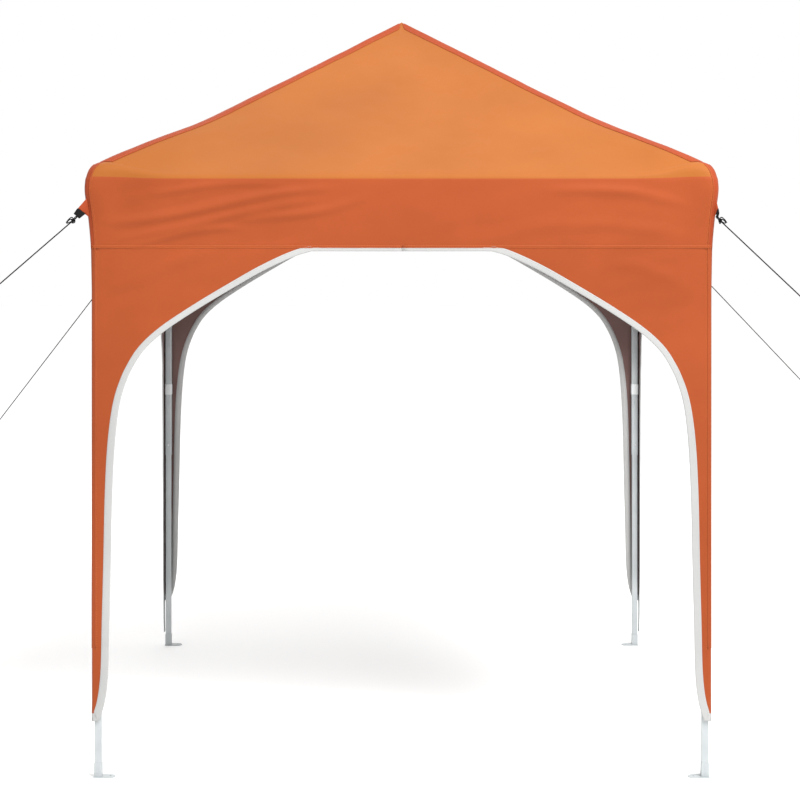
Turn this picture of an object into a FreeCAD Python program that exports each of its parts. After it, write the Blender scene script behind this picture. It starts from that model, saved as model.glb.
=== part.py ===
import FreeCAD, Part
import math
import os

os.makedirs("parts", exist_ok=True)

# Pop-up canopy, 2 m square, in millimetres. The origin is the centre of the footprint on the ground,
# +Z is up and the front faces -Y. Corners run anticlockwise seen from above, from the front left.
Vector = FreeCAD.Vector
UP = Vector(0, 0, 1)
ORIGIN = Vector(0, 0, 0)
CORNERS = ["front_left", "front_right", "back_right", "back_left"]
SIDES = ["front", "right", "back", "left"]

# Legs
leg_spacing = 1974.0
upper_tube = 26.0
upper_wall = 1.5
lower_wall = 1.4
tube_clearance = 0.3
tube_corner = 3.0
upper_bottom = 805.0
leg_overlap = 225.0
hole_pitch = 90.0
hole_above_end = 43.0
spare_holes = 2
button_radius = 4.0
button_length = 9.0
button_proud = 3.0
pin_clearance = 0.06

# Feet
foot_thick = 3.0
foot_width = 40.0
foot_heel = 14.0
foot_tongue = 56.0
socket_wall = 1.8
socket_height = 46.0
socket_fit = 0.1
peg_radius = 5.0
peg_reach = 38.0
screw_radius = 1.8
screw_head = 3.2
screw_levels = [18.0, 36.0]

# Folding truss
pivot_top = 1925.0
truss_height = 187.0
pivot_offset = 50.0
bar_high = 20.0
bar_thick = 9.0
bar_wall = 1.2
bar_room = 1.5
plane_gap = 1.4
pin_radius = 3.0
head_radius = 5.0
head_thick = 1.4
cheek = 3.0
cheek_gap = 0.6
lug_round = 9.0
pin_recess = 0.2
head_gap = 0.2
bore_length = 60.0
clevis_root = 5.0

# Corner brackets, sliders, mid brackets and hub
bracket_wall = 3.9
bracket_below = 21.0
bracket_above = 23.0
collar_wall = 3.6
collar_height = 40.0
collar_fit = 0.4
bridge_thick = 5.0
mid_inset = 27.0
hub_half = 9.0

# Centre pole and peak cap
pole_radius = 9.5
pole_wall = 1.2
pole_socket_depth = 22.0
pole_socket_wall = 1.8
pole_fit = 0.1
pole_end_gap = 0.2
cap_radius = 30.0
cap_tip = 6.0
cap_collar = 12.0
cap_room = 1.0

# Fabric
peak_height = 2546.0
eave_above_pivot = 31.0
corner_rise = 30.0
drape_gap = 7.0
eave_bulge = 5.0
crown_bulge = 20.0
crown_below_eave = 41.0
valance_depth = 234.0
hem_height = 190.0
cloth = 2.0
cloth_gap = 0.4
hip_share = 0.435
arch_below_seam = 8.0
# The arch's haunch: how far in from the leg's centre, and how far below the flat top
arch_haunch = [(697, 0), (567, 51), (401, 155), (257, 246), (161, 319), (106, 395), (71, 509), (53, 674)]
drape_foot = [(38, 130), (12, -20)]

# Guy ropes, from the front left corner anticlockwise
rope_radius = 2.0
rope_stand_off = [48.0, 20.0, 33.0, 43.0]
rope_below_eave = 142.0
rope_lengths = [520.0, 520.0, 1600.0, 1600.0]
rope_slopes = [1.0, 1.086, 0.93, 1.148]

# Worked out from the sizes above
leg = leg_spacing / 2
lower_tube = upper_tube - 2 * upper_wall - 2 * tube_clearance
bracket_half = upper_tube / 2 + socket_fit + bracket_wall
collar_half = upper_tube / 2 + collar_fit + collar_wall
bracket_low = pivot_top - bracket_below
bracket_high = pivot_top + bracket_above
hub_inset = pivot_offset - mid_inset
unit_width = leg - pivot_offset
bar_length = math.hypot(unit_width, truss_height)
bar_angle = math.degrees(math.atan2(truss_height, unit_width))
pivot_low = pivot_top - truss_height
plane = (bar_thick + plane_gap) / 2
bridge_low = bar_high / 2 + bar_room
lowest_hole = upper_bottom + hole_above_end
hole_radius = button_radius + pin_clearance
seam_half = leg + upper_tube / 2 + drape_gap
eave_half = seam_half + eave_bulge
crown_half = seam_half + crown_bulge
eave_height = pivot_top + eave_above_pivot
corner_height = eave_height + corner_rise
crown_height = eave_height - crown_below_eave
seam_height = eave_height - valance_depth
arch_top = seam_height - arch_below_seam
roof_slope = (peak_height - eave_height) / eave_half
cap_height = (cap_radius - cap_tip) * roof_slope + cap_room
cap_below_peak = cloth + cap_tip * roof_slope + cap_room
pole_bore = pole_radius + pole_fit
pole_collar = pole_bore + pole_socket_wall


def box(x0, x1, y0, y1, z0, z1):
    return Part.makeBox(x1 - x0, y1 - y0, z1 - z0, Vector(x0, y0, z0))


def cylinder(radius, length, base, direction=UP):
    return Part.makeCylinder(radius, length, base, direction)


def upright_edges(solid):
    return [e for e in solid.Edges if abs(e.tangentAt(e.FirstParameter).z) > 0.99]


def square_bar(half, corner, z0, z1):
    solid = box(-half, half, -half, half, z0, z1)
    return solid.makeFillet(corner, upright_edges(solid))


def square_tube(size, wall, corner, z0, z1):
    outer = square_bar(size / 2, corner, z0, z1)
    return outer.cut(square_bar(size / 2 - wall, corner - wall + 0.1, z0 - 1, z1 + 1))


def moved(shape, x, y, z=0.0):
    copy = shape.copy()
    copy.translate(Vector(x, y, z))
    return copy


def turned(shape, number):
    """The shape of the front-left corner or the front side, turned to its corner or side."""
    copy = shape.copy()
    copy.rotate(ORIGIN, UP, 90 * number)
    return copy


def mirrored(shape, number):
    """The shape of the front-left corner, mirrored to another corner."""
    copy = shape.copy()
    if number in (1, 2):
        copy = copy.mirror(ORIGIN, Vector(1, 0, 0))
    if number in (2, 3):
        copy = copy.mirror(ORIGIN, Vector(0, 1, 0))
    return copy


def save(name, shapes):
    solids = []
    for shape in shapes:
        solids += shape.Solids
    result = solids[0] if len(solids) == 1 else Part.makeCompound(solids)
    if not result.isValid():
        print("not valid:", name)
    result.exportStep(f"parts/{name}.step")


# --- telescopic legs -------------------------------------------------------------------------


def upper_leg():
    tube = square_tube(upper_tube, upper_wall, tube_corner, upper_bottom, bracket_high - cheek)
    for number in range(spare_holes + 1):
        base = Vector(0, 0, lowest_hole + number * hole_pitch)
        tube = tube.cut(cylinder(hole_radius, upper_tube, base, Vector(0, 1, 0)))
    return tube


def lower_leg():
    top = upper_bottom + leg_overlap
    tube = square_tube(lower_tube, lower_wall, tube_corner - upper_wall, foot_thick, top)
    base = Vector(0, 0, lowest_hole)
    tube = tube.cut(cylinder(hole_radius, upper_tube, base, Vector(0, 1, 0)))
    for level in screw_levels:
        hole = cylinder(screw_radius + pin_clearance, upper_tube, Vector(0, 0, level), Vector(0, -1, 0))
        tube = tube.cut(hole)
    return tube


def foot():
    """A plate with a rounded tongue that points inwards, and a socket for the lower tube."""
    half = foot_width / 2
    centre = foot_tongue - half
    plate = box(-foot_heel, centre, -half, half, 0, foot_thick)
    plate = plate.fuse(cylinder(half, foot_thick, Vector(centre, 0, 0)))
    socket_half = lower_tube / 2 + socket_fit + socket_wall
    socket = square_bar(socket_half, tube_corner, 0, socket_height)
    pocket_half = lower_tube / 2 + socket_fit
    pocket = square_bar(pocket_half, tube_corner - upper_wall + socket_fit, foot_thick, socket_height + 1)
    body = plate.fuse(socket).removeSplitter().cut(pocket)
    body = body.cut(cylinder(peg_radius, foot_thick + 2, Vector(peg_reach, 0, -1)))
    for level in screw_levels:
        hole = cylinder(screw_radius + pin_clearance, upper_tube, Vector(0, 0, level), Vector(0, -1, 0))
        body = body.cut(hole)
    return body


def foot_screws():
    screws = []
    inside = lower_tube / 2 - lower_wall
    outside = lower_tube / 2 + socket_fit + socket_wall
    for level in screw_levels:
        shank = cylinder(screw_radius, outside - inside + 2, Vector(0, 2 - inside, level), Vector(0, -1, 0))
        head = cylinder(screw_head, head_thick, Vector(0, -outside, level), Vector(0, -1, 0))
        screws.append(shank.fuse(head).removeSplitter())
    return screws


def snap_button():
    """A sprung button with a domed nose, which comes out through the leg's inner face."""
    nose = upper_tube / 2 + button_proud
    base = Vector(0, nose - button_length, lowest_hole)
    stem = cylinder(button_radius, button_length, base, Vector(0, 1, 0))
    rim = [e for e in stem.Edges if abs(e.BoundBox.YMin - nose) < 0.01 and e.BoundBox.YLength < 0.01]
    return stem.makeFillet(button_radius * 0.6, rim)


for number, corner in enumerate(CORNERS):
    place = (-leg, -leg)
    lower = [lower_leg(), foot()] + foot_screws()
    lower = [mirrored(moved(shape, *place), number) for shape in lower]
    save(f"{corner}_lower_leg_and_foot", lower)
    save(f"{corner}_snap_button", [mirrored(moved(snap_button(), *place), number)])


# --- clevises, which hold a bar's end between two cheeks --------------------------------------


def clevis(reach, offset, height):
    """Two cheeks that run along +X to a pivot at reach, about a bar whose centre plane is at y = offset."""
    pieces = []
    inner = bar_thick / 2 + cheek_gap
    for low in (offset - inner - cheek, offset + inner):
        start = Vector(reach, low, height)
        ear = cylinder(lug_round, cheek, start, Vector(0, 1, 0))
        arm = box(bracket_half - clevis_root, reach, low, low + cheek, height - lug_round, height + lug_round)
        pieces.append(ear.fuse(arm))
    root_end = reach - bar_high / 2 - bar_room
    root = box(bracket_half - clevis_root, root_end, offset - inner - cheek, offset + inner + cheek,
               height - lug_round, height + lug_round)
    body = root.fuse(pieces)
    start = Vector(reach, -bore_length / 2, height)
    return body.cut(cylinder(pin_radius + pin_clearance, bore_length, start, Vector(0, 1, 0)))


def end_pin(offset):
    """A headed pin through a clevis, about the origin, along Y."""
    reach = bar_thick / 2 + cheek_gap + cheek
    reach = reach + head_gap
    start = offset - reach
    shank = cylinder(pin_radius, 2 * reach, Vector(0, start, 0), Vector(0, 1, 0))
    near = cylinder(head_radius, head_thick, Vector(0, start - head_thick, 0), Vector(0, 1, 0))
    far = cylinder(head_radius, head_thick, Vector(0, offset + reach, 0), Vector(0, 1, 0))
    return shank.fuse([near, far]).removeSplitter()


def corner_bracket():
    """The cap over the upper tube, with one clevis for each side's top bar."""
    body = square_bar(bracket_half, tube_corner, bracket_low, bracket_high)
    body = body.fuse(clevis(pivot_offset, -plane, pivot_top))
    body = body.fuse(turned(clevis(pivot_offset, -plane, pivot_top), 1))
    body = body.removeSplitter()
    pocket_half = upper_tube / 2 + socket_fit
    pocket = square_bar(pocket_half, tube_corner, bracket_low - 1, bracket_high - cheek + 0.1)
    return body.cut(pocket)


def slider():
    """The collar that runs on the upper tube, with one clevis for each side's bottom bar."""
    low = pivot_low - collar_height / 2
    high = pivot_low + collar_height / 2
    body = square_bar(collar_half, tube_corner, low, high)
    body = body.fuse(clevis(pivot_offset, plane, pivot_low))
    body = body.fuse(turned(clevis(pivot_offset, plane, pivot_low), 1))
    body = body.removeSplitter()
    return body.cut(square_bar(upper_tube / 2 + collar_fit, tube_corner, low - 1, high + 1))


for number, corner in enumerate(CORNERS):
    tube = mirrored(moved(upper_leg(), -leg, -leg), number)
    bracket = turned(moved(corner_bracket(), -leg, -leg), number)
    save(f"{corner}_upper_leg_and_bracket", [tube, bracket])
    save(f"{corner}_slider", [turned(moved(slider(), -leg, -leg), number)])


# --- scissor bars ----------------------------------------------------------------------------


def bar(angle, offset, holes):
    """A hollow bar from the origin along +X, tilted up by angle, on the plane y = offset."""
    half = bar_high / 2
    low = offset - bar_thick / 2
    along_y = Vector(0, 1, 0)
    body = box(0, bar_length, low, low + bar_thick, -half, half)
    body = body.fuse([cylinder(half, bar_thick, Vector(0, low, 0), along_y),
                      cylinder(half, bar_thick, Vector(bar_length, low, 0), along_y)])
    body = body.removeSplitter()
    middle = bar_length / 2
    room = 2 * half
    for start, end in ((room, middle - room), (middle + room, bar_length - room)):
        hollow = box(start, end, low + bar_wall, low + bar_thick - bar_wall, bar_wall - half, half - bar_wall)
        body = body.cut(hollow)
    for place in holes:
        hole = cylinder(pin_radius + pin_clearance, bar_thick + 2, Vector(place, low - 1, 0), along_y)
        body = body.cut(hole)
    body.rotate(ORIGIN, Vector(0, 1, 0), -angle)
    return body


def joint_rivet(x, z, start, end):
    """A headed rivet along Y through two crossing bars."""
    along_y = Vector(0, 1, 0)
    shank = cylinder(pin_radius, end - start, Vector(x, start, z), along_y)
    near = cylinder(head_radius, head_thick, Vector(x, start - head_thick, z), along_y)
    far = cylinder(head_radius, head_thick, Vector(x, end, z), along_y)
    return shank.fuse([near, far]).removeSplitter()


hole_places = [0.0, bar_length / 2, bar_length]
near_end = -unit_width
far_end = unit_width
rivet_reach = bar_thick + plane_gap / 2 + 0.2
half_way = pivot_top - truss_height / 2
bar_sets = {}
bar_sets["falling_bar_at_start"] = [
    moved(bar(-bar_angle, -plane, hole_places), near_end, -leg, pivot_top),
    moved(end_pin(-plane), near_end, -leg, pivot_top),
    moved(joint_rivet(near_end / 2, half_way, -rivet_reach, rivet_reach), 0, -leg),
    moved(joint_rivet(0, pivot_low, -rivet_reach, rivet_reach), 0, -leg)]
bar_sets["rising_bar_at_start"] = [
    moved(bar(bar_angle, plane, hole_places), near_end, -leg, pivot_low),
    moved(end_pin(plane), near_end, -leg, pivot_low)]
bar_sets["falling_bar_at_end"] = [
    moved(bar(-bar_angle, -plane, hole_places), 0, -leg, pivot_top)]
bar_sets["rising_bar_at_end"] = [
    moved(bar(bar_angle, plane, hole_places), 0, -leg, pivot_low),
    moved(joint_rivet(far_end / 2, half_way, -rivet_reach, rivet_reach), 0, -leg)]
for number, side in enumerate(SIDES):
    for name, shapes in bar_sets.items():
        save(f"{side}_{name}", [turned(shape, number) for shape in shapes])


# --- centre support: mid brackets, centre bars, hub, pole and cap ------------------------------


def mid_bracket():
    """A bridge over the middle pivot, with cheeks for both top bars and a clevis for the centre bar."""
    outer = bar_thick + plane_gap / 2 + cheek_gap
    top = bridge_low + bridge_thick
    inner = bar_thick / 2 + cheek_gap
    reach = mid_inset + lug_round
    body = box(-lug_round, lug_round, -outer - cheek, outer + cheek, bridge_low, top)
    body = body.fuse(box(-inner - cheek, inner + cheek, outer, reach, bridge_low, top))
    for low in (-outer - cheek, outer):
        plate = box(-lug_round, lug_round, low, low + cheek, 0, bridge_low + 1)
        ear = cylinder(lug_round, cheek, Vector(0, low, 0), Vector(0, 1, 0))
        body = body.fuse(plate.fuse(ear))
    for low in (-inner - cheek, inner):
        plate = box(low, low + cheek, outer + 1, reach, 0, bridge_low + 1)
        ear = cylinder(lug_round, cheek, Vector(low, mid_inset, 0), Vector(1, 0, 0))
        body = body.fuse(plate.fuse(ear))
    body = body.removeSplitter()
    bore = pin_radius + pin_clearance
    body = body.cut(cylinder(bore, bore_length, Vector(0, -bore_length / 2, 0), Vector(0, 1, 0)))
    body = body.cut(cylinder(bore, bore_length, Vector(-bore_length / 2, mid_inset, 0), Vector(1, 0, 0)))
    pin_end = outer + cheek - pin_recess
    outer_pin = cylinder(pin_radius, 2 * pin_end, Vector(0, -pin_end, 0), Vector(0, 1, 0))
    return [body, outer_pin]


def centre_bar():
    """A bar from the mid bracket down to the hub, along +Y, with its pin at the bracket."""
    body = bar(-bar_angle, 0, hole_places)
    pin = end_pin(0)
    shapes = []
    for shape in (body, pin):
        shape.rotate(ORIGIN, UP, 90)
        shapes.append(moved(shape, 0, mid_inset - leg, pivot_top))
    return shapes


def hub():
    """A block with four clevises, a socket for the pole above, and the four pins of the centre bars."""
    low = pivot_low - lug_round
    high = pivot_low + pole_socket_depth
    body = cylinder(pole_collar, high - low, Vector(0, 0, low))
    pins = []
    inner = bar_thick / 2 + cheek_gap
    for number in range(4):
        for start in (-inner - cheek, inner):
            ear = cylinder(lug_round, cheek, Vector(start, -hub_inset, pivot_low), Vector(1, 0, 0))
            arm = box(start, start + cheek, -hub_inset, -hub_half, low, pivot_low + lug_round)
            body = body.fuse(turned(ear.fuse(arm), number))
        pin_end = inner + cheek - pin_recess
        base = Vector(-pin_end, -hub_inset, pivot_low)
        pin = cylinder(pin_radius, 2 * pin_end, base, Vector(1, 0, 0))
        pins.append(turned(pin, number))
    body = body.removeSplitter()
    socket = Vector(0, 0, pivot_low + bridge_low)
    body = body.cut(cylinder(pole_bore, pole_socket_depth + 1, socket))
    for number in range(4):
        room_end = bar_high / 2 + bar_room - hub_inset
        room = box(-inner, inner, -hub_inset - lug_round - 1, room_end, low - 1, high + 1)
        body = body.cut(turned(room, number))
        start = Vector(-bore_length / 2, -hub_inset, pivot_low)
        hole = cylinder(pin_radius + pin_clearance, bore_length, start, Vector(1, 0, 0))
        body = body.cut(turned(hole, number))
    return [body] + pins


def centre_pole():
    low = pivot_low + bridge_low + pole_end_gap
    high = peak_height - cap_below_peak - cap_height + cap_tip
    base = Vector(0, 0, low)
    return cylinder(pole_radius, high - low, base).cut(cylinder(pole_radius - pole_wall, high - low, base))


def peak_cap():
    """A blunt cone that sits on the pole and carries the peak of the roof."""
    top = peak_height - cap_below_peak
    low = top - cap_height
    cone = Part.makeCone(cap_radius, cap_tip, cap_height, Vector(0, 0, low))
    base = Vector(0, 0, low - cap_collar)
    collar = cylinder(pole_collar, cap_collar, base)
    body = cone.fuse(collar).removeSplitter()
    return body.cut(cylinder(pole_bore, cap_collar + cap_tip + pole_end_gap, base))


for number, side in enumerate(SIDES):
    bracket = [turned(moved(shape, 0, -leg, pivot_top), number) for shape in mid_bracket()]
    save(f"{side}_mid_bracket", bracket)
    save(f"{side}_centre_bar", [turned(shape, number) for shape in centre_bar()])
save("centre_hub", hub())
save("centre_pole", [centre_pole()])
save("peak_cap", [peak_cap()])


# --- fabric ----------------------------------------------------------------------------------


def slab(points, thickness):
    """A flat cloth panel between its outer corner points and the same points a cloth lower."""
    face = Part.Face(Part.makePolygon([Vector(*p) for p in points + points[:1]]))
    return face.extrude(Vector(0, 0, thickness))


hip_point = (-eave_half * hip_share, -eave_half * hip_share,
             peak_height - (peak_height - corner_height) * hip_share)
peak_point = (0, 0, peak_height)
front_eave = (0, -eave_half, eave_height)
left_eave = (-eave_half, 0, eave_height)
corner_point = (-eave_half, -eave_half, corner_height)


def roof_panels(outline, thickness, drop=0.0):
    """The two flat panels of half a roof quadrant, one each side of the hip."""
    panels = []
    for points in outline:
        panels.append(slab([(x, y, z - drop) for x, y, z in points], thickness))
    return panels[0].fuse(panels[1])


outer_outline = [[front_eave, hip_point, corner_point], [left_eave, hip_point, corner_point]]
inner_outline = [[front_eave, hip_point, peak_point], [left_eave, hip_point, peak_point]]


def square_loft(levels, inset):
    """A skin's solid through square sections, given as pairs of half width and height."""
    wires = []
    for half, height in levels:
        h = half - inset
        points = [(-h, -h), (h, -h), (h, h), (-h, h), (-h, -h)]
        wires.append(Part.makePolygon([Vector(x, y, height) for x, y in points]))
    return Part.makeLoft(wires, True, True)


def arch_prism():
    """The arched opening of the front side, from below the hem up to its flat top."""
    curve = Part.BSplineCurve()
    curve.interpolate([Vector(inward - leg, 0, arch_top - down) for inward, down in arch_haunch])
    haunch = curve.toShape()
    corners = [Vector(1, 0, arch_top), Vector(arch_haunch[0][0] - leg, 0, arch_top)]
    foot = [Vector(arch_haunch[-1][0] - leg, 0, arch_top - arch_haunch[-1][1])]
    foot += [Vector(inward - leg, 0, hem_height + up) for inward, up in drape_foot]
    foot += [Vector(1, 0, hem_height + drape_foot[-1][1]), corners[0]]
    edges = [Part.makeLine(*corners), haunch]
    edges += [Part.makeLine(foot[i], foot[i + 1]) for i in range(len(foot) - 1)]
    face = Part.Face(Part.Wire(edges))
    return moved(face.extrude(Vector(0, 60, 0)), 0, -leg - 50)


def corner_fabric():
    """The front-left quarter of the valance with the two half drapes that run down the leg."""
    levels = [(seam_half, hem_height), (seam_half, seam_height), (crown_half, crown_height),
              (eave_half, eave_height + 2), (eave_half, corner_height + 10)]
    skin = square_loft(levels, 0).cut(square_loft(levels, cloth))
    reach = crown_half + 100
    skin = skin.common(box(-reach, 0, -reach, 0, 0, peak_height))
    arch = arch_prism()
    skin = skin.cut(arch)
    side_arch = arch.mirror(ORIGIN, Vector(1, -1, 0))
    skin = skin.cut(side_arch)
    for outline in (outer_outline, inner_outline):
        skin = skin.cut(roof_panels(outline, 200, cloth + cloth_gap))
    return skin.cut(box(-reach, 0, -reach, 0, corner_height + 5, peak_height))


for number, corner in enumerate(CORNERS):
    outer = roof_panels(outer_outline, cloth, cloth)
    inner = roof_panels(inner_outline, cloth, cloth)
    save(f"{corner}_roof_outer_quarter", [turned(outer, number)])
    save(f"{corner}_roof_peak_quarter", [turned(inner, number)])
    save(f"{corner}_valance_and_drape", [turned(corner_fabric(), number)])


# --- guy ropes -------------------------------------------------------------------------------

for number, corner in enumerate(CORNERS):
    side_x = -1 if number in (0, 3) else 1
    side_y = -1 if number < 2 else 1
    run = Vector(side_x, side_y, -rope_slopes[number])
    out = seam_half + rope_stand_off[number]
    tie = Vector(side_x * out, side_y * out, eave_height - rope_below_eave)
    save(f"{corner}_guy_rope", [cylinder(rope_radius, rope_lengths[number], tie, run)])
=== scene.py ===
import bpy
import bmesh
import math
import numpy as np
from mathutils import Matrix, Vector, noise


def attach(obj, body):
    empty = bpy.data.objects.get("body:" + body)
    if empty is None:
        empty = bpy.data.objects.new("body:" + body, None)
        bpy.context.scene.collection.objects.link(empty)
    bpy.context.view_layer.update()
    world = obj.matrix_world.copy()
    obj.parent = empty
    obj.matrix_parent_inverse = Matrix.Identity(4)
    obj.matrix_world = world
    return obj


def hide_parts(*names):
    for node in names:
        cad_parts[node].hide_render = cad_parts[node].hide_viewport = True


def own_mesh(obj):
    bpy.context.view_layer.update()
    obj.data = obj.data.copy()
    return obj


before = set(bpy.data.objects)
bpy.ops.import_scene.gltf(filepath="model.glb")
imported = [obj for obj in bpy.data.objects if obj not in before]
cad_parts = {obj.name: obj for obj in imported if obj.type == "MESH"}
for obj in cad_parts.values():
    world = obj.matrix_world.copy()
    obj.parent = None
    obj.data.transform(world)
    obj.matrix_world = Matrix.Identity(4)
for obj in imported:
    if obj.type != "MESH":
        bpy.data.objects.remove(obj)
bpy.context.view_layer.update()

# --- Stage ------------------------------------------------------------------------------------
# A plain pale floor, a big soft light high in front and a little to the right, two fills, and a
# camera that stands level in front of the canopy, with its picture shifted down instead of tilted.
camera_data = bpy.data.cameras.new("camera")
camera_data.lens = 90.5
camera_data.sensor_width = 36.0
camera_data.shift_x = -0.002
camera_data.shift_y = -0.2407
camera_data.clip_end = 60.0
camera = bpy.data.objects.new("camera", camera_data)
camera.location = (0.0, -7.535, 1.853)
camera.rotation_euler = (math.radians(90), 0, 0)
bpy.context.scene.collection.objects.link(camera)
bpy.context.scene.camera = camera

floor_mesh = bpy.data.meshes.new("floor")
floor_mesh.from_pydata([(-30, -30, 0), (30, -30, 0), (30, 30, 0), (-30, 30, 0)], [], [(0, 1, 2, 3)])
floor = bpy.data.objects.new("floor", floor_mesh)
floor.location.z = -0.0005
bpy.context.scene.collection.objects.link(floor)
floor_paint = bpy.data.materials.new("pale_floor")
floor_paint.use_nodes = True
floor_shader = floor_paint.node_tree.nodes["Principled BSDF"]
floor_shader.inputs["Base Color"].default_value = (0.93, 0.93, 0.925, 1)
floor_shader.inputs["Roughness"].default_value = 0.85
floor_shader.inputs["Emission Color"].default_value = (1.0, 1.0, 1.0, 1)
floor_shader.inputs["Emission Strength"].default_value = 0.08
floor_mesh.materials.append(floor_paint)

for light_name, place, energy, size in (("key", (2.6, -4.6, 7.5), 930, 3.5),
                                        ("fill", (-6.0, -5.0, 4.0), 30, 5.0),
                                        ("back", (-1.0, 6.0, 5.0), 60, 4.0)):
    light_data = bpy.data.lights.new(light_name, "AREA")
    light_data.energy = energy
    light_data.size = size
    light = bpy.data.objects.new(light_name, light_data)
    light.location = place
    light.rotation_euler = (Vector((0, 0, 1.3)) - Vector(place)).to_track_quat("-Z", "Y").to_euler()
    bpy.context.scene.collection.objects.link(light)
world = bpy.data.worlds.new("studio")
world.use_nodes = True
world.node_tree.nodes["Background"].inputs["Color"].default_value = (1.0, 1.0, 1.0, 1)
world.node_tree.nodes["Background"].inputs["Strength"].default_value = 1.0
bpy.context.scene.world = world
bpy.context.scene.view_settings.view_transform = "Standard"

# --- Guy ropes --------------------------------------------------------------------------------
# Four braided black ropes, 4 mm thick, which tie to the webbing loops under the eave corners and
# run straight out at 45 degrees to their pegs. Each is cut off at the knotted loop of its far end.
CORNERS = ["front_left", "front_right", "back_right", "back_left"]
ROPE_TIES = [1.055, 1.027, 1.040, 1.050]
ROPE_HEIGHT = 1.814
ROPE_SLOPES = [1.0, 1.086, 0.93, 1.148]
ROPE_LENGTHS = [0.520, 0.520, 1.600, 1.600]
ROPE_RADIUS = 0.002
LOOP_RADIUS = 0.0018
KNOT_RADIUS = 0.0019
FAR_LOOP = 0.062


def corner_signs(number):
    """Which way a corner lies from the middle, in x and y."""
    return (-1 if number in (0, 3) else 1), (-1 if number < 2 else 1)


def new_finish(name, values):
    """A material, its tree and its shader, with the shader's sockets set by name."""
    material = bpy.data.materials.new(name)
    material.use_nodes = True
    shader = material.node_tree.nodes["Principled BSDF"]
    for socket, value in values.items():
        shader.inputs[socket].default_value = value
    return material, material.node_tree, shader


def add_node(tree, kind, values=None):
    """A new node, with its sockets set by name."""
    node = tree.nodes.new(kind)
    for socket, value in (values or {}).items():
        node.inputs[socket].default_value = value
    return node


def wire(tree, *links):
    """Each link is a node, its output, the next node and its input."""
    for start, output, end, entry in links:
        tree.links.new(start.outputs[output], end.inputs[entry])


rope_finish, tree, shader = new_finish("braided_rope", {
    "Base Color": (0.004, 0.004, 0.004, 1), "Roughness": 0.9, "Specular IOR Level": 0.15})
coords = add_node(tree, "ShaderNodeTexCoord")
strands = add_node(tree, "ShaderNodeTexWave", {"Scale": 320})
strands.bands_direction = "DIAGONAL"
bump = add_node(tree, "ShaderNodeBump", {"Strength": 0.6, "Distance": 0.0006})
wire(tree, (coords, "Object", strands, "Vector"), (strands, "Fac", bump, "Height"),
     (bump, "Normal", shader, "Normal"))


def mesh_piece(name, vertices, faces, material, smooth=True, end_caps=0):
    """A plain mesh piece at the origin, with its place in its vertices. Its last faces are flat caps."""
    mesh = bpy.data.meshes.new(name)
    mesh.from_pydata([tuple(v) for v in vertices], [], [tuple(f) for f in faces])
    mesh.materials.append(material)
    sides = len(mesh.polygons) - end_caps
    mesh.polygons.foreach_set("use_smooth", [smooth] * sides + [False] * end_caps)
    mesh.update()
    piece = bpy.data.objects.new(name, mesh)
    bpy.context.scene.collection.objects.link(piece)
    return piece


def tube_mesh(points, radius, sides=8):
    """Vertices and faces of a closed round tube along points."""
    points = [Vector(p) for p in points]
    vertices, faces = [], []
    across = None
    for i, point in enumerate(points):
        ahead = points[min(i + 1, len(points) - 1)] - points[max(i - 1, 0)]
        ahead.normalize()
        if across is None:
            across = ahead.orthogonal().normalized()
        across = (across - ahead * across.dot(ahead)).normalized()
        side = ahead.cross(across)
        for j in range(sides):
            a = 2 * math.pi * j / sides
            vertices.append(point + (across * math.cos(a) + side * math.sin(a)) * radius)
    for i in range(len(points) - 1):
        for j in range(sides):
            k = (j + 1) % sides
            faces.append((i * sides + j, i * sides + k, (i + 1) * sides + k, (i + 1) * sides + j))
    faces.append(tuple(reversed(range(sides))))
    last = (len(points) - 1) * sides
    faces.append(tuple(range(last, last + sides)))
    return vertices, faces


def joined(parts):
    """One list of vertices and faces out of several."""
    vertices, faces = [], []
    for more_vertices, more_faces in parts:
        start = len(vertices)
        vertices += list(more_vertices)
        faces += [tuple(i + start for i in face) for face in more_faces]
    return vertices, faces


def smooth_path(points, steps=8):
    """Points along a Catmull-Rom curve through the given ones."""
    points = [Vector(p) for p in points]
    ends = [points[0] * 2 - points[1]] + points + [points[-1] * 2 - points[-2]]
    path = []
    for i in range(1, len(ends) - 2):
        a, b, c, d = ends[i - 1:i + 3]
        for step in range(steps):
            t = step / steps
            path.append(0.5 * ((2 * b) + (c - a) * t + (2 * a - 5 * b + 4 * c - d) * t * t
                               + (3 * b - a - 3 * c + d) * t ** 3))
    path.append(points[-1])
    return path


def rope_knot(centre, along, size):
    """Two wraps and a bight of the rope about itself, as a drawn-up half hitch."""
    along = along.normalized()
    across = along.orthogonal().normalized()
    side = along.cross(across)
    loops = []
    for turn, tilt in ((-0.5, 0.35), (0.5, -0.3), (0.0, 0.9)):
        ring = []
        for i in range(25):
            a = 2 * math.pi * i / 24
            reach = size * (1.0 + 0.12 * math.sin(3 * a + turn))
            ring.append(centre + along * (turn * size * 0.9 + tilt * size * 0.5 * math.sin(a))
                        + across * math.cos(a) * reach * 0.8 + side * math.sin(a) * reach * 0.8)
        loops.append(tube_mesh(ring, KNOT_RADIUS))
    return joined(loops)


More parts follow.
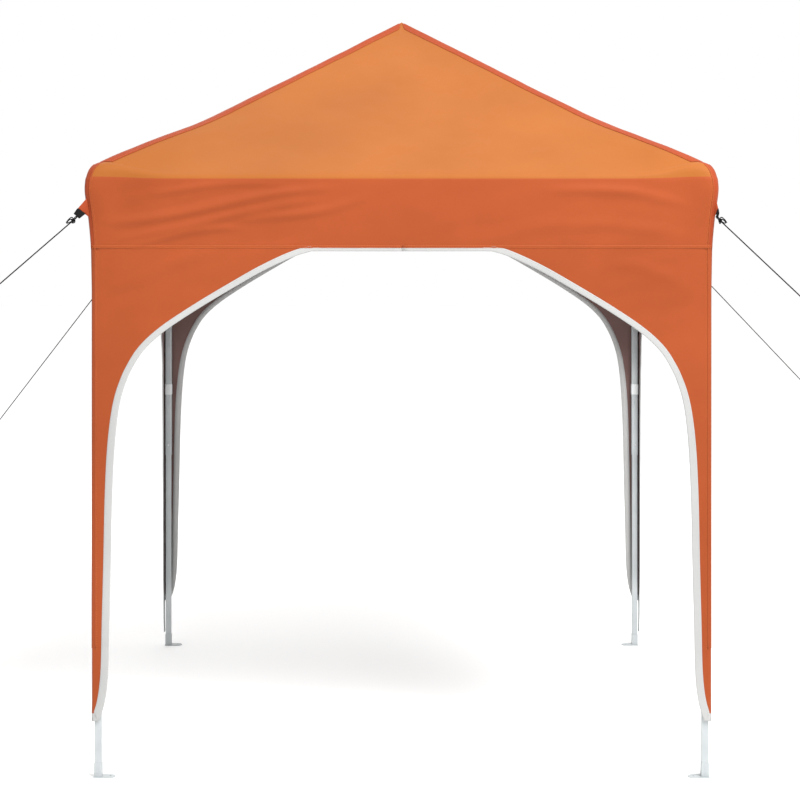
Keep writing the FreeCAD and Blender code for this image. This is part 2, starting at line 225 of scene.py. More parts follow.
for number, corner in enumerate(CORNERS):
    sx, sy = corner_signs(number)
    run = Vector((sx, sy, -ROPE_SLOPES[number])).normalized()
    tie = Vector((sx * ROPE_TIES[number], sy * ROPE_TIES[number], ROPE_HEIGHT))
    length = ROPE_LENGTHS[number]
    curve = bpy.data.curves.new(f"{corner}_rope", "CURVE")
    curve.dimensions = "3D"
    curve.bevel_depth = ROPE_RADIUS
    curve.bevel_resolution = 3
    curve.use_fill_caps = True
    spline = curve.splines.new("NURBS")
    spline.points.add(3)
    for i, share in enumerate((0.0, 0.3, 0.7, 1.0)):
        spline.points[i].co = (*(tie + run * length * share), 1.0)
    spline.order_u = 3
    spline.use_endpoint_u = True
    curve.materials.append(rope_finish)
    rope = bpy.data.objects.new(f"{corner}_rope", curve)
    bpy.context.scene.collection.objects.link(rope)

    # The far loop: the rope's tail is turned back on itself and whipped.
    end = tie + run * (length - FAR_LOOP)
    side = run.cross(Vector((0, 0, 1))).normalized()
    lift = side.cross(run)
    loop_path = smooth_path([end, end + run * 0.02 + side * 0.007, end + run * 0.044 + side * 0.011,
                             end + run * 0.060 + side * 0.002, end + run * 0.046 - side * 0.010,
                             end + run * 0.022 - side * 0.007, end + run * 0.002 - lift * 0.002])
    knot = joined([tube_mesh(loop_path, LOOP_RADIUS), rope_knot(end, run, 0.0042)])
    far_knot = mesh_piece(f"{corner}_rope_end_loop", *knot, rope_finish)
    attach(far_knot, f"{corner}_leg")

    # The bow at the tie, with one short tail that stands off and one that hangs.
    outward = Vector((sx, sy, 0)).normalized()
    aside = Vector((-sy, sx, 0)).normalized()
    tail = smooth_path([tie, tie + outward * 0.010 + Vector((0, 0, 0.007)), tie + outward * 0.022,
                        tie + outward * 0.031 - Vector((0, 0, 0.010))])
    bow = smooth_path([tie, tie + aside * 0.012 + outward * 0.006, tie + aside * 0.020 + run * 0.016,
                       tie + aside * 0.008 + run * 0.018, tie + run * 0.004])
    other = smooth_path([tie, tie - aside * 0.013 + outward * 0.008, tie - aside * 0.018 + run * 0.020,
                         tie - aside * 0.006 + run * 0.015, tie + run * 0.003])
    hold = Vector((sx, sy, 0)) * (ROPE_TIES[number] - 0.0075) + Vector((0, 0, ROPE_HEIGHT + 0.0115))
    through = smooth_path([tie + run * 0.004, (tie + hold) / 2 + aside * 0.005, hold + aside * 0.001,
                           (tie + hold) / 2 - aside * 0.005, tie + run * 0.005])
    parts = [tube_mesh(path, LOOP_RADIUS) for path in (tail, bow, other, through)]
    parts.append(rope_knot(tie + run * 0.006, run, 0.0048))
    tie_knot = mesh_piece(f"{corner}_rope_tie", *joined(parts), rope_finish)
    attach(tie_knot, f"{corner}_leg")

    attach(rope, f"{corner}_leg")
    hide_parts(f"{corner}_guy_rope")

# --- Powder-coated frame ------------------------------------------------------------------------
# The square leg tubes, the feet and the truss bars are steel with a pale grey powder coat. The coat
# has a fine orange-peel texture and is a little rubbed where the tubes slide.
grey_coat, tree, shader = new_finish("grey_powder_coat", {
    "Metallic": 0.0, "Coat Weight": 0.15, "Coat Roughness": 0.35})
coords = add_node(tree, "ShaderNodeTexCoord")
rub = add_node(tree, "ShaderNodeTexNoise", {"Scale": 9, "Detail": 6})
tint = add_node(tree, "ShaderNodeValToRGB")
tint.color_ramp.elements[0].position = 0.30
tint.color_ramp.elements[0].color = (0.33, 0.355, 0.362, 1)
tint.color_ramp.elements[1].position = 0.68
tint.color_ramp.elements[1].color = (0.40, 0.425, 0.432, 1)
gloss = add_node(tree, "ShaderNodeMapRange", {"To Min": 0.34, "To Max": 0.52})
peel = add_node(tree, "ShaderNodeTexNoise", {"Scale": 900})
bump = add_node(tree, "ShaderNodeBump", {"Strength": 0.12, "Distance": 0.0004})
wire(tree, (coords, "Object", rub, "Vector"), (coords, "Object", peel, "Vector"),
     (rub, "Fac", tint, "Fac"), (rub, "Fac", gloss, "Value"), (tint, "Color", shader, "Base Color"),
     (gloss, "Result", shader, "Roughness"), (peel, "Fac", bump, "Height"),
     (bump, "Normal", shader, "Normal"))


def refinish(node, material):
    """The finish on a metal or plastic part's own mesh."""
    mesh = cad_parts[node].data
    if not mesh.materials:
        mesh.materials.append(material)
    for i in range(len(mesh.materials)):
        mesh.materials[i] = material


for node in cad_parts:
    if "leg" in node or "_bar" in node or node == "centre_pole":
        refinish(node, grey_coat)

# --- Moulded black plastic -----------------------------------------------------------------------
# The sliders, mid brackets, hub and peak cap are moulded in black nylon. The mould is spark-eroded,
# which leaves a fine dull grain on every face.
black_nylon, tree, shader = new_finish("moulded_black_nylon", {
    "Base Color": (0.028, 0.028, 0.030, 1), "Specular IOR Level": 0.4})
coords = add_node(tree, "ShaderNodeTexCoord")
grain = add_node(tree, "ShaderNodeTexVoronoi", {"Scale": 1400})
bump = add_node(tree, "ShaderNodeBump", {"Strength": 0.25, "Distance": 0.0003})
haze = add_node(tree, "ShaderNodeTexNoise", {"Scale": 40})
gloss = add_node(tree, "ShaderNodeMapRange", {"To Min": 0.45, "To Max": 0.62})
wire(tree, (coords, "Object", grain, "Vector"), (coords, "Object", haze, "Vector"),
     (haze, "Fac", gloss, "Value"), (gloss, "Result", shader, "Roughness"),
     (grain, "Distance", bump, "Height"), (bump, "Normal", shader, "Normal"))
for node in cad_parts:
    if "slider" in node or "mid_bracket" in node or node in ("centre_hub", "peak_cap"):
        refinish(node, black_nylon)

# --- Snap buttons --------------------------------------------------------------------------------
# The sprung buttons that lock the legs are turned from steel bar, with a dull zinc finish that is
# scuffed by the edges of the holes.
button_steel, tree, shader = new_finish("zinc_plated_button", {
    "Base Color": (0.60, 0.61, 0.62, 1), "Metallic": 1.0})
coords = add_node(tree, "ShaderNodeTexCoord")
scuff = add_node(tree, "ShaderNodeTexNoise", {"Scale": 600})
gloss = add_node(tree, "ShaderNodeMapRange", {"To Min": 0.25, "To Max": 0.5})
wire(tree, (coords, "Object", scuff, "Vector"), (scuff, "Fac", gloss, "Value"),
     (gloss, "Result", shader, "Roughness"))
for corner in CORNERS:
    refinish(f"{corner}_snap_button", button_steel)

# --- Cloth finishes ------------------------------------------------------------------------------
# The canopy is coated woven polyester, orange outside and dark brownish grey inside. The weave is
# a fine square grid of threads, and the dye varies a little over each panel.
WEAVE = 0.0012
TAPE_WEAVE = 0.0016
WEBBING_WEAVE = 0.0018
THREAD_TWIST = 0.0006


def woven(name, dark, light, pitch, roughness, sheen):
    """A finish with a fine weave on object coordinates and slow drifts of colour."""
    material, tree, shader = new_finish(name, {"Roughness": roughness, "Sheen Weight": sheen,
                                               "Sheen Roughness": 0.5, "Specular IOR Level": 0.12})
    coords = add_node(tree, "ShaderNodeTexCoord")
    drift = add_node(tree, "ShaderNodeTexNoise", {"Scale": 2.2, "Detail": 5})
    tint = add_node(tree, "ShaderNodeValToRGB")
    tint.color_ramp.elements[0].position = 0.35
    tint.color_ramp.elements[0].color = (*dark, 1)
    tint.color_ramp.elements[1].position = 0.65
    tint.color_ramp.elements[1].color = (*light, 1)
    both_ways, output = None, "Fac"
    for direction in ("X", "Y", "Z"):
        threads = add_node(tree, "ShaderNodeTexWave", {"Scale": 1 / pitch / 3.14, "Distortion": 0.6})
        threads.bands_direction = direction
        wire(tree, (coords, "Object", threads, "Vector"))
        if both_ways is None:
            both_ways = threads
        else:
            crossing = add_node(tree, "ShaderNodeMath")
            crossing.operation = "ADD"
            wire(tree, (both_ways, output, crossing, 0), (threads, "Fac", crossing, 1))
            both_ways, output = crossing, "Value"
    crease = add_node(tree, "ShaderNodeTexNoise", {"Scale": 14, "Detail": 7, "Roughness": 0.55})
    soft = add_node(tree, "ShaderNodeBump", {"Strength": 0.10, "Distance": 0.010})
    fine = add_node(tree, "ShaderNodeBump", {"Strength": 0.18, "Distance": 0.0003})
    wire(tree, (coords, "Object", drift, "Vector"), (drift, "Fac", tint, "Fac"),
         (tint, "Color", shader, "Base Color"), (coords, "Object", crease, "Vector"),
         (crease, "Fac", soft, "Height"), (both_ways, output, fine, "Height"),
         (soft, "Normal", fine, "Normal"), (fine, "Normal", shader, "Normal"))
    return material


orange_cloth = woven("orange_polyester", (0.250, 0.047, 0.011), (0.290, 0.056, 0.014), WEAVE, 0.62, 0.06)
# The roof orange is a lighter, yellower copy of the same cloth: painted light on faces turned up to the lamp.
painted_light_roof_orange = woven("orange_polyester_painted_light", (0.268, 0.079, 0.0125), (0.300, 0.091, 0.0155), WEAVE,
                   0.60, 0.06)
# The hip orange is a darker copy of the same cloth: painted shade on the hips and corners that turn from the
# light.
painted_shade_hip_orange = woven("orange_polyester_painted_shade", (0.245, 0.037, 0.009), (0.275, 0.043, 0.011), WEAVE, 0.62, 0.05)
dark_lining = woven("dark_brown_inside_face", (0.105, 0.062, 0.056), (0.150, 0.088, 0.080), WEAVE, 0.70, 0.10)
grey_tape = woven("grey_binding_tape", (0.34, 0.34, 0.335), (0.38, 0.38, 0.375), TAPE_WEAVE, 0.72, 0.10)
orange_thread = woven("orange_thread", (0.42, 0.11, 0.03), (0.50, 0.14, 0.035), THREAD_TWIST, 0.6, 0.0)
grey_thread = woven("grey_thread", (0.42, 0.43, 0.42), (0.50, 0.51, 0.50), THREAD_TWIST, 0.6, 0.0)
black_webbing = woven("black_webbing", (0.006, 0.006, 0.006), (0.010, 0.010, 0.010), WEBBING_WEAVE, 0.8, 0.0)
grey_webbing = woven("grey_webbing", (0.56, 0.58, 0.58), (0.64, 0.66, 0.66), WEBBING_WEAVE, 0.7, 0.05)

# --- Shape of the sewn cover ----------------------------------------------------------------------
# The cover is one tight skin: a four-sided roof, a soft fold at the eave, a deep valance, and
# drapes that run down round each leg. Heights and half widths below are its outer face, in metres.
PEAK = 2.546
ROOF_FALL = 0.585
HIP_RISE = 0.035
EAVE_RING = 0.985
CLOTH = 0.0012
LINING = 1
MIDDLE_EDGE = [(0.985, 1.9697), (1.000, 1.9605), (1.0060, 1.9550), (1.0090, 1.9470), (1.0100, 1.9370),
               (1.0095, 1.9000), (1.0090, 1.8300), (1.0085, 1.7700), (1.0085, 1.7225)]
CORNER_EDGE = [(0.985, 2.0045), (1.0075, 1.9935), (1.0215, 1.9760), (1.0290, 1.9530), (1.0315, 1.9380),
               (1.0315, 1.9000), (1.0210, 1.8300), (1.0135, 1.7700), (1.0095, 1.7225)]
CORNER_ROUND = [0.026, 0.026, 0.025, 0.024, 0.022, 0.020, 0.015, 0.009, 0.006]
HIP_ROUND = 0.026
HIP_SPREAD = 0.13
HIP_POINT = 0.435
SAG = 0.010
RIPPLE = 0.0022
FINE_RIPPLE = 0.0010
HALF_COLUMNS = 72
TOWARDS_CORNER = 1.55


def smoothstep(low, high, x):
    """0 below low, 1 above high, and a smooth rise between."""
    t = np.clip((x - low) / (high - low), 0, 1)
    return t * t * (3 - 2 * t)


def lumps(points, scale, seed):
    """Smooth seeded noise at each point, about -1 to 1, with its own scale along each axis."""
    shift = (seed, -seed, 2 * seed)
    return np.array([noise.noise(Vector([p[k] * scale[k] + shift[k] for k in range(3)])) for p in points])


EAVE_ROUND = HIP_ROUND * math.sqrt(float(smoothstep(0.0, 0.9, np.array(EAVE_RING))))


def roof_height(x, y):
    """The roof's height over a plan point: four faces, softly ridged hips and a raised corner."""
    ax, ay = np.abs(x), np.abs(y)
    hip_round = HIP_ROUND ** 2 * smoothstep(0.0, 0.9, np.maximum(ax, ay))
    reach = 0.5 * (ax + ay + np.sqrt((ax - ay) ** 2 + hip_round + 1e-9))
    near_hip = np.exp(-((ax - ay) / HIP_SPREAD) ** 2)
    rise = HIP_RISE * smoothstep(0.62, 0.99, reach) * near_hip
    lean = 1 - np.minimum(ax, ay) / np.maximum(np.maximum(ax, ay), 1e-6)
    sag = SAG * np.sin(np.pi * np.clip(reach / EAVE_RING, 0, 1)) * smoothstep(0.0, 0.8, lean)
    points = np.stack([x, y, np.zeros_like(x)], axis=-1).reshape(-1, 3)
    ripple = lumps(points, (5.0, 5.0, 1.0), 3.1).reshape(x.shape) * RIPPLE
    fine = lumps(points, (17.0, 17.0, 1.0), 8.4).reshape(x.shape) * FINE_RIPPLE
    free = smoothstep(0.0, 0.12, 1.0 - reach) * smoothstep(0.02, 0.2, reach)
    return PEAK - ROOF_FALL * reach + rise - sag + (ripple + fine) * free


def quarter_turns(points, number):
    """Points of the front side turned to another side."""
    turned = np.array(points, float)
    for _ in range(number):
        turned = np.stack([-turned[:, 1], turned[:, 0], turned[:, 2]], axis=1)
    return turned


def cloth_piece(name, rows, columns, points, normals, finishes, flip=False, zones=None):
    """A closed double skin from a grid of outer points and their normals, with its own split normals.

    zones gives the finish of each outer cell, where it isn't the first one."""
    points = points.reshape(-1, 3)
    normals = normals.reshape(-1, 3)
    normals = normals / np.linalg.norm(normals, axis=1)[:, None]
    count = rows * columns
    inner = points - normals * CLOTH
    faces, facing, finish_of = [], [], []
    for i in range(rows - 1):
        for j in range(columns - 1):
            a, d = i * columns + j, (i + 1) * columns + j
            b, c = a + 1, d + 1
            quad = (a, d, c, b) if flip else (a, b, c, d)
            faces += [quad, tuple(count + k for k in reversed(quad))]
            facing += ["out", "in"]
            finish_of += [int(zones[i, j]) if zones is not None else 0, LINING]
    border = list(range(columns)) + [i * columns + columns - 1 for i in range(1, rows)]
    border += [(rows - 1) * columns + j for j in range(columns - 2, -1, -1)]
    border += [i * columns for i in range(rows - 2, 0, -1)]
    for a, b in zip(border, border[1:] + border[:1]):
        rim = (a, count + a, count + b, b)
        faces.append(tuple(reversed(rim)) if flip else rim)
        facing.append("edge")
        finish_of.append(0)
    mesh = bpy.data.meshes.new(name)
    mesh.from_pydata(np.vstack([points, inner]).tolist(), [], faces)
    for finish in finishes:
        mesh.materials.append(finish)
    mesh.polygons.foreach_set("material_index", finish_of)
    mesh.polygons.foreach_set("use_smooth", [True] * len(faces))
    flat_normals = [tuple(polygon.normal) for polygon in mesh.polygons]
    split = []
    for face, way, flat in zip(faces, facing, flat_normals):
        if way == "out":
            split += [tuple(normals[k]) for k in face]
        elif way == "in":
            split += [tuple(-normals[k - count]) for k in face]
        else:
            split += [flat] * len(face)
    mesh.normals_split_custom_set(split)
    piece = bpy.data.objects.new(name, mesh)
    bpy.context.scene.collection.objects.link(piece)
    return piece


# --- Roof quarters --------------------------------------------------------------------------------
# The roof is cut in four faces that meet at the hips. Here it is kept in quarters, each with an
# outer part on its leg and a peak part on the pole, which part along a line between middle eaves.
SIDES = ["front", "right", "back", "left"]
RAYS_OUTER = 40
RAYS_PEAK = 30


def ring_line(q, half, k):
    """Distance from the centre line of a side to its face, for a point q along it, with a round corner."""
    return half - (k * k / 4) / np.maximum(half - q, k / 2)


def column_shares():
    """Shares of the way from the middle of a side to its corner, closer together at the corner."""
    return 1 - (1 - np.linspace(0, 1, HALF_COLUMNS + 1)) ** TOWARDS_CORNER


def eave_columns(half, k):
    """Places along half a side, from its middle to the middle of the corner's curve."""
    return column_shares() * (half - k / 2)


def roof_point(x, y):
    """Points on the roof over plan points."""
    return np.stack([x, y, roof_height(x, y)], axis=-1)


def roof_normal(x, y):
    """The roof's normals over plan points."""
    step = 0.002
    dx = (roof_height(x + step, y) - roof_height(x - step, y)) / (2 * step)
    dy = (roof_height(x, y + step) - roof_height(x, y - step)) / (2 * step)
    n = np.stack([-dx, -dy, np.ones_like(dx)], axis=-1)
    return n / np.linalg.norm(n, axis=-1)[..., None]


def roof_fan(which):
    """Plan grid of the half face right of the front's middle: its peak part or its outer part."""
    tip = EAVE_RING - EAVE_ROUND / 2
    middle = np.array([0.0, -(EAVE_RING - (EAVE_ROUND * EAVE_ROUND / 4) / EAVE_RING)])
    if which == "peak":
        along_hip = tip * HIP_POINT * np.linspace(0.0, 1.0, RAYS_PEAK + 1)
    else:
        along_hip = np.linspace(HIP_POINT, 1.0, RAYS_OUTER + 1) * tip
    ends = [np.array([s, -s]) for s in along_hip]
    rows = np.array([[middle + (end - middle) * s for s in column_shares()] for end in ends])
    if which == "outer":
        # Bend the last rays on to the eave's own line, so that the roof meets the fold all along it.
        columns = eave_columns(EAVE_RING, EAVE_ROUND)
        eave = np.stack([columns, -ring_line(columns, EAVE_RING, EAVE_ROUND)], axis=1)
        shift = eave - rows[-1]
        weight = smoothstep(0.0, 1.0, np.linspace(0, 1, len(rows)))
        rows = rows + weight[:, None, None] * shift[None]
    return rows


def gather_to_hip(piece):
    """Gives the half face its own copy of its mesh."""
    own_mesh(piece)


for number, corner in enumerate(CORNERS):
    for part in ("outer", "peak"):
        grid = roof_fan(part)
        for mirror in (False, True):
            flat = np.stack([-grid[..., 1], -grid[..., 0]], axis=-1) if mirror else grid
            plan = np.concatenate([flat.reshape(-1, 2), np.zeros((flat.shape[0] * flat.shape[1], 1))], axis=1)
            turned = quarter_turns(plan, (number + 3) % 4)
            x = turned[:, 0].reshape(flat.shape[:2])
            y = turned[:, 1].reshape(flat.shape[:2])
            points, normals = roof_point(x, y), roof_normal(x, y)
            side = (number + (0 if mirror else 3)) % 4
            # The roof faces take the lighter roof orange, which is painted light.
            piece = cloth_piece(f"{corner}_roof_{part}_on_{SIDES[side]}", points.shape[0], points.shape[1],
                                points, normals, [painted_light_roof_orange, dark_lining], flip=not mirror)
            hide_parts(f"{corner}_roof_{part}_quarter")
            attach(piece, f"{corner}_roof_{part}")
            gather_to_hip(piece)

# --- Valance and drapes ---------------------------------------------------------------------------
# Below the fold each side is one deep valance with an arched drape sewn under it, which narrows to
# a strip down the leg. Each side is made whole, and kept in halves that go with their own legs.
SEAM = 1.7225
HEM = 0.186
CORNER_SEAM = 0.993
DRAPE_HALF = ([0.2, 1.30, 1.585, SEAM], [1.0070, 1.0066, 1.0066, 1.0090])
ARCH = [(0.000, 1.7120), (0.150, 1.7120), (0.272, 1.7120), (0.300, 1.7095), (0.360, 1.6895), (0.4505, 1.6466),
        (0.545, 1.5930), (0.635, 1.5395), (0.706, 1.4945), (0.762, 1.4560), (0.808, 1.4180), (0.843, 1.3800),
        (0.869, 1.3380), (0.888, 1.2980), (0.907, 1.2410), (0.920, 1.1700), (0.930, 1.0600), (0.937, 0.9000),
        (0.941, 0.7000), (0.946, 0.5000), (0.950, 0.3400), (0.960, 0.2500), (0.978, 0.1880)]
OUTER = [(0.000, SEAM), (0.150, SEAM), (0.280, SEAM), (0.320, SEAM), (0.385, SEAM), (0.480, SEAM),
         (0.590, SEAM), (0.715, SEAM), (0.850, SEAM), (1.000, SEAM), (1.000, 1.6400), (1.000, 1.5600),
         (1.000, 1.4800), (1.000, 1.4000), (1.000, 1.3200), (1.000, 1.2200), (1.000, 1.0800), (1.000, 0.9000),
         (1.000, 0.7000), (1.000, 0.5000), (1.000, 0.3400), (1.000, 0.2500), (1.000, HEM)]
DRAPE_ROUND = [0.005, 0.006]
CORNER_RIB = 9
CUT_RIB = 13
SKIRT_ROWS = 10
ROOF_EDGE = 3
DRAPE_STEPS = 6
DRAPE_ACROSS = 26
ROOF_PAINTED_LIGHT = 2
HIP_PAINTED_SHADE = 3
HANDS = ((-1, "left"), (1, "right"))
# Each crease: the place along the side and the height of both its ends, how far it rises, its half width.
CREASES = [(-0.980, 1.806, -0.200, 1.915, 0.0105, 0.016), (-0.960, 1.757, -0.250, 1.872, 0.0100, 0.015),
           (-0.820, 1.905, -0.350, 1.938, 0.0070, 0.014), (-0.900, 1.742, -0.500, 1.785, 0.0065, 0.013),
           (-0.550, 1.790, -0.100, 1.890, 0.0075, 0.015), (0.970, 1.860, 0.450, 1.930, 0.0060, 0.020),
           (0.950, 1.770, 0.350, 1.800, 0.0035, 0.022), (-0.970, 1.590, -0.620, 1.705, 0.0045, 0.020),
           (0.960, 1.580, 0.660, 1.695, 0.0035, 0.022)]
SMALL_CREASE = 0.0020
BROAD_CREASE = 0.0030
DEEPEST = 0.001


def wrinkles(q, height, side):
    """How far the cloth stands out of its plane: slack creases that slope away from the corners."""
    hand = 1 if side % 2 == 0 else -1
    total = np.zeros_like(q)
    for q0, z0, q1, z1, rise, width in CREASES:
        run = np.array([q1 - q0, z1 - z0])
        reach = np.hypot(*run)
        run = run / reach
        share = np.clip(((q * hand - q0) * run[0] + (height - z0) * run[1]) / reach, 0, 1)
        apart = -(q * hand - q0) * run[1] + (height - z0) * run[0]
        bend = 0.012 * np.sin(share * 5.0 + 9 * q0)
        total = total + rise * np.exp(-((apart - bend) / width) ** 2) * np.sin(np.pi * share) ** 0.8
    places = np.stack([q, np.zeros_like(q), height], axis=-1).reshape(-1, 3)
    lean = places.copy()
    lean[:, 0] = places[:, 0] * 0.97 + places[:, 2] * 0.25
    lean[:, 2] = -places[:, 0] * 0.25 + places[:, 2] * 0.97
    small = lumps(lean, (4.0, 1.0, 22.0), 4.9 + 2.1 * side).reshape(q.shape)
    broad = lumps(places, (2.3, 1.0, 5.0), 21.3 + 3.3 * side).reshape(q.shape)
    total = total + SMALL_CREASE * small + BROAD_CREASE * broad
    upright = smoothstep(1.955, 1.90, height)
    corner = 1 - smoothstep(0.90, 1.0, np.abs(q))
    arch_hold = 0.35 + 0.65 * smoothstep(1.0, 1.7, height)
    total = total * upright * corner * arch_hold
    return np.where(total < 0, -DEEPEST * np.tanh(-total / DEEPEST), total)


def spread(points, steps):
    """Smooth points through a list of pairs, with steps between each two."""
    path = smooth_path([(a, b, 0) for a, b in points], steps)
    return np.array([(p.x, p.y) for p in path])


def skirt_surface(side):
    """Grid of outer points of the whole side's fold and valance, seen from outside, left to right."""
    middle = spread(MIDDLE_EDGE, SKIRT_ROWS)
    corner = spread(CORNER_EDGE, SKIRT_ROWS)
    rounds = np.interp(np.arange(len(middle)) / SKIRT_ROWS, np.arange(len(CORNER_ROUND)), CORNER_ROUND)
    rows = []
    for i in range(len(middle)):
        right = eave_columns(corner[i, 0], rounds[i])
        q = np.concatenate([-right[::-1], right[1:]])
        along = 1.0 - np.abs(q) / (corner[i, 0] - rounds[i] / 2)
        near = np.exp(-(along / 0.075) ** 2)
        half = middle[i, 0] + (corner[i, 0] - middle[i, 0]) * near
        lift = np.exp(-((np.abs(q) - EAVE_RING) / HIP_SPREAD) ** 2)
        height = middle[i, 1] + (corner[i, 1] - middle[i, 1]) * lift
        flat = half - (rounds[i] ** 2 / 4) / np.maximum(corner[i, 0] - np.abs(q), rounds[i] / 2)
        tip = np.abs(q) >= corner[i, 0] - rounds[i] / 2 - 1e-9
        flat = np.where(tip, np.abs(q), flat)
        if i == 0:
            right = eave_columns(EAVE_RING, EAVE_ROUND)
            q = np.concatenate([-right[::-1], right[1:]])
            flat = ring_line(np.abs(q), EAVE_RING, EAVE_ROUND)
            turned = quarter_turns(np.stack([q, -flat, np.zeros_like(q)], axis=1), side)
            height = roof_height(turned[:, 0], turned[:, 1])
        out = wrinkles(q, height, side)
        rows.append(np.stack([q, -(flat + out), height], axis=1))
    return np.array(rows)


def drape_surface(side, hand):
    """Grid from the arch's edge out to the seam and down the corner, for one half of a side."""
    arch = spread(ARCH, DRAPE_STEPS)
    outer = np.array([np.array(a) + (np.array(b) - np.array(a)) * (step / DRAPE_STEPS)
                      for a, b in zip(OUTER, OUTER[1:]) for step in range(DRAPE_STEPS)] + [OUTER[-1]])
    t = np.linspace(0, 1, DRAPE_ACROSS + 1)
    rows = []
    for a, o in zip(arch, outer):
        x = a[0] + (o[0] - a[0]) * t
        z = a[1] + (o[1] - a[1]) * t
        half = np.interp(z, DRAPE_HALF[0], DRAPE_HALF[1])
        k = np.interp(z, [1.60, SEAM], DRAPE_ROUND)
        q = x * (half - k / 2)
        flat = np.where(x >= 0.9999, half - k / 2, ring_line(np.abs(q), half, k))
        out = wrinkles(q * hand, z, side)
        rows.append(np.stack([q * hand, -(flat + out), z], axis=1))
    return np.array(rows)


def grid_normals(grid, outward):
    """Normals of a grid of points by differences along its rows and columns."""
    down = np.gradient(grid, axis=0)
    across = np.gradient(grid, axis=1)
    n = np.cross(across, down)
    n /= np.maximum(np.linalg.norm(n, axis=-1), 1e-12)[..., None]
    sign = np.sign(np.einsum("ijk,k->ij", n, np.array(outward, float)))
    return n * np.where(sign == 0, 1, sign)[..., None]


def corner_normals(normals, column, hand):
    """At the middle of a corner's curve the normal lies in the plane of the diagonal."""
    n = normals[:, column]
    flat = (n[:, 0] * hand - n[:, 1]) / 2
    normals[:, column, 0] = flat * hand
    normals[:, column, 1] = -flat
    normals[:, column] /= np.linalg.norm(normals[:, column], axis=1)[:, None]


def corner_of(side, hand):
    """The corner at one end of a side."""
    return CORNERS[(side + (1 if hand > 0 else 0)) % 4]


def half_of(hand):
    """The columns of a whole side that are in one of its halves."""
    return slice(0, HALF_COLUMNS + 1) if hand < 0 else slice(HALF_COLUMNS, None)


def ride_and_gather_side(piece, side, hand):
    """The half side goes with its leg, on its own copy of its mesh."""
    corner = corner_of(side, hand)
    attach(piece, f"{corner}_leg")
    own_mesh(piece)


skirt_grids = {}
drape_grids = {}
for side, side_name in enumerate(SIDES):
    whole = skirt_surface(side)
    normals = grid_normals(whole, (0, -1, 0.35))
    first = quarter_turns(whole[0], side)
    top = roof_normal(first[:, 0], first[:, 1])
    normals[0] = quarter_turns(top, (4 - side) % 4)
    corner_normals(normals, 0, -1)
    corner_normals(normals, -1, 1)
    skirt_grids[side] = (whole, normals)
    for hand, hand_name in HANDS:
        corner = corner_of(side, hand)
        grid, grid_n = whole[:, half_of(hand)], normals[:, half_of(hand)]
        shape = grid.shape[:2]
        zones = np.zeros((shape[0] - 1, shape[1] - 1), int)
        # The top rows of the fold take the roof orange: painted light where the fold turns up to the lamp.
        zones[:ROOF_EDGE * SKIRT_ROWS] = ROOF_PAINTED_LIGHT
        # Past the corner seam the cloth takes the darker hip orange: painted shade where it turns round the
        # corner.
        seam_at = int(np.argmin(np.abs(grid[-1, :, 0] - hand * CORNER_SEAM)))
        zones[:, slice(0, seam_at) if hand < 0 else slice(seam_at, None)] = HIP_PAINTED_SHADE
        valance = cloth_piece(f"{side_name}_valance_{hand_name}", shape[0], shape[1],
                              quarter_turns(grid.reshape(-1, 3), side),
                              quarter_turns(grid_n.reshape(-1, 3), side),
                              [orange_cloth, dark_lining, painted_light_roof_orange, painted_shade_hip_orange], flip=True, zones=zones)
        drape = drape_surface(side, hand)
        drape_n = grid_normals(drape, (0, -1, 0.0))
        corner_normals(drape_n[CORNER_RIB * DRAPE_STEPS:], -1, hand)
        drape_grids[(side, hand)] = (drape, drape_n)
        pieces = [valance]
        for cut_name, first, last in (("haunch", 0, CUT_RIB), ("leg_strip", CUT_RIB, len(ARCH) - 1)):
            rows = slice(first * DRAPE_STEPS, last * DRAPE_STEPS + 1)
            part, part_n = drape[rows], drape_n[rows]
            cut_piece = cloth_piece(f"{side_name}_{cut_name}_{hand_name}", part.shape[0], part.shape[1],
                                    quarter_turns(part.reshape(-1, 3), side),
                                    quarter_turns(part_n.reshape(-1, 3), side), [orange_cloth, dark_lining],
                                    flip=hand > 0)
            rim = ARCH[first:last + 1] + OUTER[first:last + 1][::-1]
            width = 1.0 - min(x for x, z in rim)
            length = max(z for x, z in rim) - min(z for x, z in rim)
            pieces.append(cut_piece)
        for piece in pieces:
            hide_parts(f"{corner}_valance_and_drape")
            ride_and_gather_side(piece, side, hand)

# --- Binding of the arches ------------------------------------------------------------------------
# A pale grey woven tape is folded over the raw edge of each arch and sewn through both its faces. It
# shows about 19 mm wide over the opening and 24 mm down the leg.
TAPE_WIDTH = 0.0185
LEG_TAPE_EXTRA = 0.005
FOOT_TAPE_EXTRA = 0.001
TAPE_STAND = 0.0009
TAPE_UNDER = CLOTH + TAPE_STAND
TAPE_STITCH_LINE = 0.82
binding_edges = {}


def closed_strip(rings, flip=False):
    """Vertices and faces of a closed strip through rings of points."""
    ring = len(rings[0])
    vertices = [tuple(p) for one in rings for p in one]
    faces = []
    for i in range(len(rings) - 1):
        for j in range(ring):
            a, b = i * ring + j, i * ring + (j + 1) % ring
            faces.append((a, b, b + ring, a + ring))
    faces.append(tuple(reversed(range(ring))))
    last = (len(rings) - 1) * ring
    faces.append(tuple(range(last, last + ring)))
    if flip:
        faces = [tuple(reversed(face)) for face in faces]
    return vertices, faces


def unit(vectors):
    """The vectors at length one."""
    return vectors / np.maximum(np.linalg.norm(vectors, axis=-1), 1e-12)[..., None]


